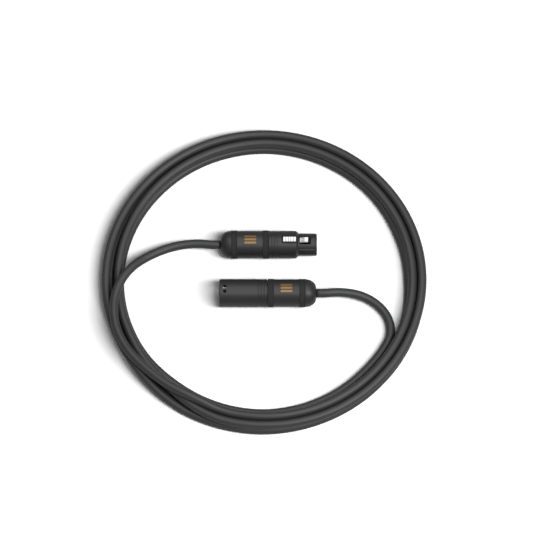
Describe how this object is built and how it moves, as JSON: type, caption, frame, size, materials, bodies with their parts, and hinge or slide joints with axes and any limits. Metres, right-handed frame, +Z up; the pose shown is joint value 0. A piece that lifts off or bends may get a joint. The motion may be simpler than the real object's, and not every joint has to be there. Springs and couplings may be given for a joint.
{
  "type": "xlr cable coil",
  "caption": "Coiled microphone cable with a latching female and a male 3-pin XLR connector, each with rubber grip rings.",
  "frame": {"origin": "on the resting surface, under the middle of the two connectors' bounding box", "axes": "+X along both connectors: the female connector's nose points +X and the male connector's mouth points -X; +Z is up, with the female latch on top"},
  "size_m": [0.2284, 0.229, 0.0205],
  "materials": {
    "shell_black": "satin black coated zinc",
    "sleeve_black": "satin black coated zinc",
    "ring_rubber": "matt rubber",
    "insert_black": "matt glass-filled nylon",
    "chuck_grey": "matt plastic",
    "contact_gold": "gold plated",
    "pin_silver": "silver plated",
    "latch_silver": "bright nickel plated",
    "spring_steel": "drawn wire",
    "jacket_black": "matt PVC",
    "wire_copper": "twisted bare copper",
    "wire_red": "insulation",
    "wire_white": "insulation"
  },
  "bodies": {
    "cable_set": {"female_housing": "shell_black", "female_insert": "insert_black", "female_contact_1": "contact_gold", "female_contact_2": "contact_gold", "female_contact_3": "contact_gold", "female_ground_tab": "latch_silver", "female_latch_pin": "spring_steel", "female_latch_spring": "spring_steel", "female_chuck": "chuck_grey", "female_back_shell": "sleeve_black", "female_front_grip_ring": "ring_rubber", "female_rear_grip_ring": "ring_rubber", "female_jacket_end": "jacket_black", "female_shield_wire": "wire_copper", "female_red_wire": "wire_red", "female_white_wire": "wire_white", "male_shell": "shell_black", "male_insert": "insert_black", "male_pin_1": "pin_silver", "male_pin_2": "pin_silver", "male_pin_3": "pin_silver", "male_ground_tab": "latch_silver", "male_chuck": "chuck_grey", "male_back_shell": "sleeve_black", "male_front_grip_ring": "ring_rubber", "male_rear_grip_ring": "ring_rubber", "male_jacket_end": "jacket_black", "male_shield_wire": "wire_copper", "male_red_wire": "wire_red", "male_white_wire": "wire_white", "cable_female_lead": "jacket_black", "cable_coil": "jacket_black", "cable_male_lead": "jacket_black"},
    "latch": {"female_latch": "latch_silver"}
  },
  "joints": [
    {"name": "female_latch_press", "type": "hinge", "parent": "cable_set", "child": "latch", "pos_m": [0.007, 0.0184, 0.01565], "axis": [0, 1, 0], "range_deg": [0, 3], "stiffness_Nm_per_rad": 0.3, "springref_deg": -2.86, "deforming": ["female_latch_spring"]}
  ]
}
